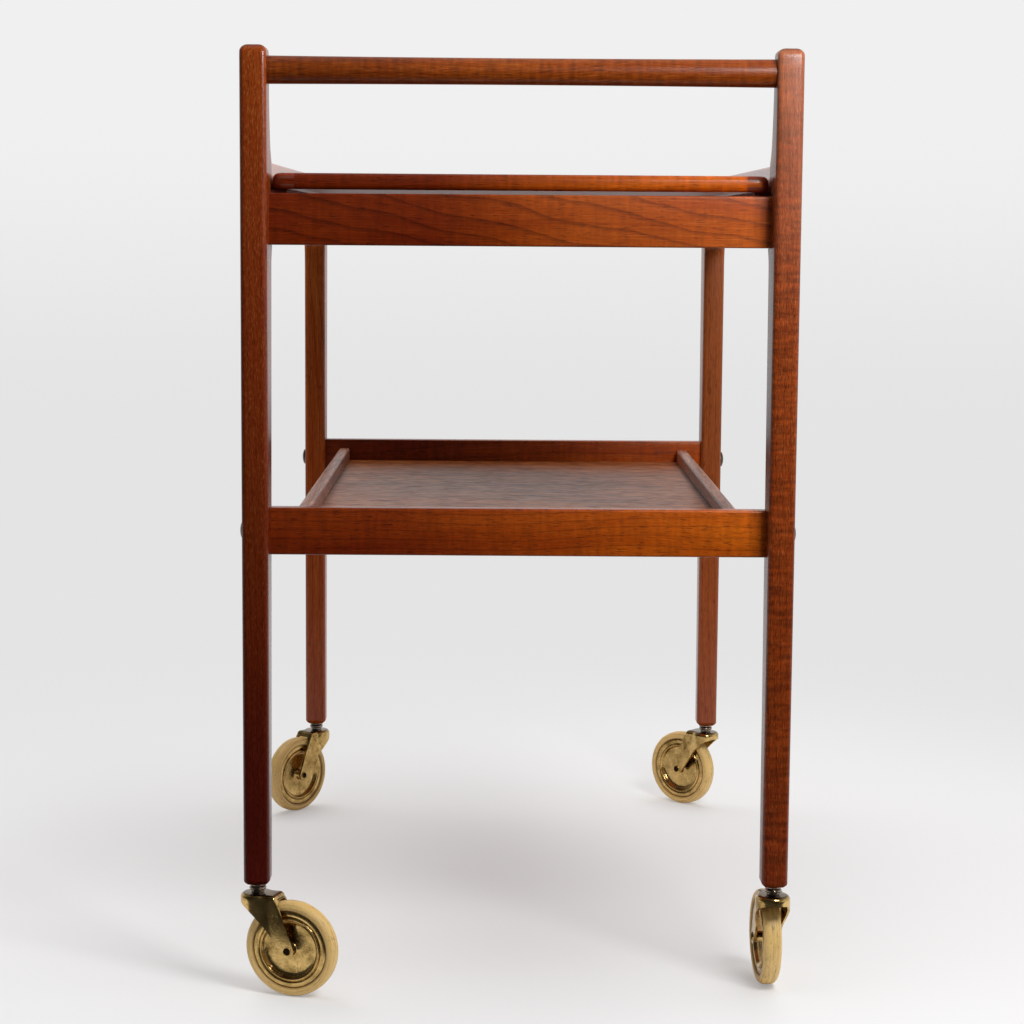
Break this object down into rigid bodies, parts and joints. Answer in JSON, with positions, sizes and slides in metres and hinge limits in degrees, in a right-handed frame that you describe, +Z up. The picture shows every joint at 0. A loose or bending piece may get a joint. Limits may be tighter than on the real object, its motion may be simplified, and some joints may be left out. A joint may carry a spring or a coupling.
{
  "type": "bar cart on castors",
  "caption": "Teak bar cart: lift-off tray over a railed lower shelf, tapered legs, round push handle at one end, swivelling brass castors with cream tyres.",
  "frame": {"origin": "on the floor under the middle of the cart's bounding box, castors as they stand", "axes": "+Z up from the floor; +Y from the handle end to the far end; +X to the right when looking from the handle end, so Z is the longest extent and X the shortest"},
  "size_m": [0.4554, 0.6798, 0.7199],
  "materials": {
    "teak_leg": "reddish-brown teak, satin lacquer",
    "teak_rail": "reddish-brown teak, satin lacquer",
    "teak_apron": "orange-brown teak with flowing grain, satin lacquer",
    "teak_handle": "turned teak, satin lacquer",
    "teak_batten": "plain teak strip",
    "teak_tray_rim": "teak, rounded edges, satin lacquer",
    "teak_veneer_tray": "teak veneer, satin lacquer",
    "teak_veneer_shelf": "teak veneer, satin lacquer",
    "teak_shelf_rail": "teak, satin lacquer",
    "teak_shelf_side": "teak, satin lacquer",
    "brass_screw": "slotted, aged",
    "brass_fork": "pressed sheet, aged and tarnished",
    "brass_hub": "pressed and pitted, aged",
    "dark_steel": "dull and dark",
    "cream_tyre": "cream rubber, yellowed"
  },
  "bodies": {
    "frame": {"leg_near_left": "teak_leg", "leg_near_right": "teak_leg", "leg_far_left": "teak_leg", "leg_far_right": "teak_leg", "side_rail_left": "teak_rail", "side_rail_right": "teak_rail", "apron_near": "teak_apron", "apron_far": "teak_apron", "handle_bar": "teak_handle", "batten_left": "teak_batten", "batten_right": "teak_batten", "batten_screw_left_near": "brass_screw", "batten_screw_left_far": "brass_screw", "batten_screw_right_near": "brass_screw", "batten_screw_right_far": "brass_screw", "shelf_rail_near": "teak_shelf_rail", "shelf_rail_far": "teak_shelf_rail", "shelf_side_left": "teak_shelf_side", "shelf_side_right": "teak_shelf_side", "shelf_panel": "teak_veneer_shelf", "shelf_screw_near_left": "brass_screw", "shelf_screw_near_right": "brass_screw", "shelf_screw_far_left": "brass_screw", "shelf_screw_far_right": "brass_screw", "socket_near_left": "dark_steel", "stem_near_left": "dark_steel", "socket_near_right": "dark_steel", "stem_near_right": "dark_steel", "socket_far_left": "dark_steel", "stem_far_left": "dark_steel", "socket_far_right": "dark_steel", "stem_far_right": "dark_steel"},
    "tray": {"tray_rim_near": "teak_tray_rim", "tray_rim_far": "teak_tray_rim", "tray_rim_left": "teak_tray_rim", "tray_rim_right": "teak_tray_rim", "tray_panel": "teak_veneer_tray"},
    "castor_near_left": {"fork_near_left": "brass_fork", "axle_near_left": "dark_steel"},
    "wheel_near_left": {"hub_near_left": "brass_hub", "tyre_near_left": "cream_tyre"},
    "castor_near_right": {"fork_near_right": "brass_fork", "axle_near_right": "dark_steel"},
    "wheel_near_right": {"hub_near_right": "brass_hub", "tyre_near_right": "cream_tyre"},
    "castor_far_left": {"fork_far_left": "brass_fork", "axle_far_left": "dark_steel"},
    "wheel_far_left": {"hub_far_left": "brass_hub", "tyre_far_left": "cream_tyre"},
    "castor_far_right": {"fork_far_right": "brass_fork", "axle_far_right": "dark_steel"},
    "wheel_far_right": {"hub_far_right": "brass_hub", "tyre_far_right": "cream_tyre"}
  },
  "joints": [
    {"name": "tray_lift", "type": "slide", "parent": "frame", "child": "tray", "axis": [0, 0, 1], "range_m": [0, 0.15]},
    {"name": "swivel_near_left", "type": "hinge", "parent": "frame", "child": "castor_near_left", "pos_m": [-0.18216, -0.31371, 0.0785], "axis": [0, 0, 1], "continuous": true},
    {"name": "wheel_spin_near_left", "type": "hinge", "parent": "castor_near_left", "child": "wheel_near_left", "pos_m": [-0.15513, -0.32276, 0.037], "axis": [0.3173, 0.9483, 0], "continuous": true},
    {"name": "swivel_near_right", "type": "hinge", "parent": "frame", "child": "castor_near_right", "pos_m": [0.21434, -0.31371, 0.0785], "axis": [0, 0, 1], "continuous": true},
    {"name": "wheel_spin_near_right", "type": "hinge", "parent": "castor_near_right", "child": "wheel_near_right", "pos_m": [0.2124, -0.28528, 0.037], "axis": [-0.9977, -0.068, 0], "continuous": true},
    {"name": "swivel_far_left", "type": "hinge", "parent": "frame", "child": "castor_far_left", "pos_m": [-0.18216, 0.29309, 0.0785], "axis": [0, 0, 1], "continuous": true},
    {"name": "wheel_spin_far_left", "type": "hinge", "parent": "castor_far_left", "child": "wheel_far_left", "pos_m": [-0.20048, 0.27125, 0.037], "axis": [0.766, -0.6428, 0], "continuous": true},
    {"name": "swivel_far_right", "type": "hinge", "parent": "frame", "child": "castor_far_right", "pos_m": [0.21434, 0.29309, 0.0785], "axis": [0, 0, 1], "continuous": true},
    {"name": "wheel_spin_far_right", "type": "hinge", "parent": "castor_far_right", "child": "wheel_far_right", "pos_m": [0.19303, 0.31201, 0.037], "axis": [-0.6639, -0.7478, 0], "continuous": true}
  ]
}
